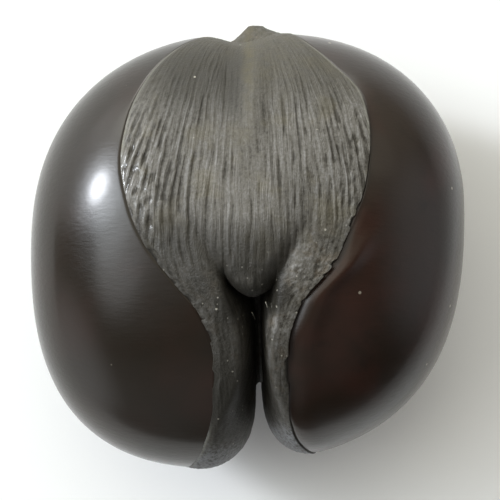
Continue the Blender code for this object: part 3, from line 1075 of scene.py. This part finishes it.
# Pale loose fibres that stand in the hollow below the face: the free end and the buried
# end of each, as a distance across, a share of the full radius and an angle round the nut.
looseFibre = dict(
    ends=(
        ((1.2 * mm, 0.80, 113), (3.5 * mm, 0.40, 154)),
        ((9.6 * mm, 0.90, 108), (12.2 * mm, 0.74, 117)),
    ),
    radius=0.34 * mm,
    tipRadius=0.3 * mm,
    bend=0.3 * mm,
    sides=8,
    rings=7,
    pale=tone(222, 219, 204),
    dull=tone(176, 170, 150),
    streakNoise=(900, 2.0, 0.6),
    streakFade=(0.35, 0.65),
    fixed={"Roughness": 0.6},
)


def looseFibres():
    # closed strands, each with a slight bend and a finer free end; a tag marks what is placed
    s = looseFibre
    finish = Finish("looseFibre", s["fixed"])
    streaks = finish.within(finish.noise(finish.place(), *s["streakNoise"]), *s["streakFade"])
    finish.drive("Base Color", finish.colours(streaks, s["dull"], s["pale"]))
    bm = bmesh.new()
    for ends in s["ends"]:
        tip, root = [Vector((x, *bodyPoint(x, share, angle))) for x, share, angle in ends]
        run = root - tip
        place = Matrix.Translation((tip + root) / 2 + Vector(nutForm["moveToRest"]))
        place = place @ run.to_track_quat("Z", "Y").to_matrix().to_4x4()
        bmesh.ops.create_cone(
            bm, cap_ends=True, segments=s["sides"], radius1=s["tipRadius"], radius2=s["radius"],
            depth=run.length,
        )
        fresh = [edge for edge in bm.edges if not edge.verts[0].tag]
        long = [edge for edge in fresh if edge.calc_length() > run.length / 2]
        bmesh.ops.subdivide_edges(bm, edges=long, cuts=s["rings"])
        for vert in bm.verts:
            if not vert.tag:
                vert.co.x += s["bend"] * math.cos(math.pi * vert.co.z / run.length)
                vert.co = place @ vert.co
                vert.tag = True
    bmesh.ops.recalc_face_normals(bm, faces=bm.faces)
    return newPiece("looseFibres", bm, finish.material)


stageLook = dict(
    cameraHeight=1.0,
    middleHeight=0.092,
    lens=108.0,
    sensorWidth=36.0,
    cameraPlace=(1.5 * mm, -2.1 * mm),
    floorSize=8.0,
    floorCells=8,
    floorFixed={"Roughness": 0.7, "Specular IOR Level": 0.2},
    # the floor is painted darker along x: a painted falloff of the light from the left
    floorNear=(0.9, 0.9, 0.89, 1),
    floorPaintedShade=(0.5, 0.5, 0.5, 1),
    floorPaintedFalloff=(0.12, 0.9),
    roomLevel=0.04,
    # soft glows of the room: turn from the left towards the stalk, height angle, width of
    # the even middle and of the whole glow, all in degrees, then brightness and colour
    glows=(
        (25.5, 30.8, 3, 7.3, 54, (0.95, 0.99, 1.06)),
        (26, 32, 9.9, 18, 3.7, (0.93, 0.99, 1.06)),
        (14, 46, 7.7, 14, 3.0, (0.92, 1.0, 1.05)),
        (21, 41, 5, 10, 3.4, (0.92, 1.0, 1.05)),
        (1, 52, 8.8, 16, 1.25, (0.99, 1.0, 1.01)),
        (-8, 50, 7.7, 14, 0.75, (1.0, 1.0, 1.0)),
        (40, 30, 8.8, 16, 0.72, (1.0, 1.0, 0.9)),
        (60, 22, 8.8, 16, 2.6, (1.0, 1.0, 0.88)),
        (60, 60, 4, 30, 1.0, (1.02, 1.0, 0.86)),
        (90, 8, 4, 30, 6.4, (1.0, 1.0, 0.94)),
        (60, 8, 4, 30, 1.3, (1.01, 1.0, 0.98)),
        (30, 8, 4, 30, 1.3, (1.0, 1.0, 0.99)),
        (-30, 8, 4, 30, 1.1, (0.99, 1.0, 1.01)),
        (0, 60, 4, 30, 0.32, (0.99, 1.0, 1.01)),
        (120, 60, 4, 30, 0.56, (1.04, 1.0, 0.82)),
        (138, 38, 7.7, 14, 0.5, (1.05, 1.0, 0.85)),
        (144, 33, 4, 30, 0.21, (1.06, 1.0, 0.86)),
        (125, 8, 4, 32, 0.42, (1.05, 1.0, 0.84)),
        (180, 20, 4, 36, 0.64, (1.0, 0.99, 1.02)),
        (-72, 33, 4, 30, 0.2, (0.99, 1.0, 1.01)),
        (-110, 55, 4, 36, 0.17, (0.99, 1.0, 1.01)),
        (-60, 20, 4, 36, 0.13, (1.0, 1.0, 1.0)),
    ),
)


def wayTo(turn, lift):
    # direction at an angle from the left towards the stalk and a height angle
    turn, lift = math.radians(turn), math.radians(lift)
    return Vector((-math.cos(turn) * math.cos(lift), math.sin(turn) * math.cos(lift), math.sin(lift)))


def roomLight():
    # dim room lit by soft glows
    s = stageLook
    world = bpy.data.worlds.new("room")
    bpy.context.scene.world = world
    world.use_nodes = True
    f = NodeKit(world.node_tree)
    way = f.node("ShaderNodeTexCoord", None, None, "Generated")
    light = [s["roomLevel"]] * 3
    for turn, lift, inner, outer, strength, colour in s["glows"]:
        near = f.vectors("DOT_PRODUCT", way, wayTo(turn, lift), "Value")
        shape = f.within(near, math.cos(math.radians(outer)), math.cos(math.radians(inner)))
        sockets = {0: colour, "Scale": shape * strength}
        glow = f.node("ShaderNodeVectorMath", dict(operation="SCALE"), sockets)
        light = f.vectors("ADD", light, glow)
    world.node_tree.links.new(light.out, world.node_tree.nodes["Background"].inputs["Color"])


def buildStage():
    s = stageLook
    bm = bmesh.new()
    cells = s["floorCells"]
    bmesh.ops.create_grid(bm, x_segments=cells, y_segments=cells, size=s["floorSize"] / 2)
    finish = Finish("paleTable", s["floorFixed"])
    # painted falloff: the floor's colour darkens along x
    across = finish.node("ShaderNodeSeparateXYZ", None, {"Vector": finish.place()}, "X")
    paintedFalloff = finish.within(across, *s["floorPaintedFalloff"])
    finish.drive("Base Color", finish.colours(paintedFalloff, s["floorNear"], s["floorPaintedShade"]))
    floor = newPiece("table", bm, finish.material)
    camera = bpy.data.objects.new("photoCamera", bpy.data.cameras.new("photoCamera"))
    camera.data.lens = s["lens"]
    camera.data.sensor_width = s["sensorWidth"]
    camera.location = (*s["cameraPlace"], s["middleHeight"] + s["cameraHeight"])
    bpy.context.collection.objects.link(camera)
    bpy.context.scene.camera = camera
    roomLight()
    bpy.context.scene.view_settings.view_transform = "Standard"


shell = polishedShell()
print("polished shell made")
layer = rindLayer()
print("fibrous layer made")
strands = looseFibres()
print("loose fibres made")
for piece in (shell, layer, strands):
    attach(piece, "root")
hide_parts("nut")
buildStage()
print("stage made")
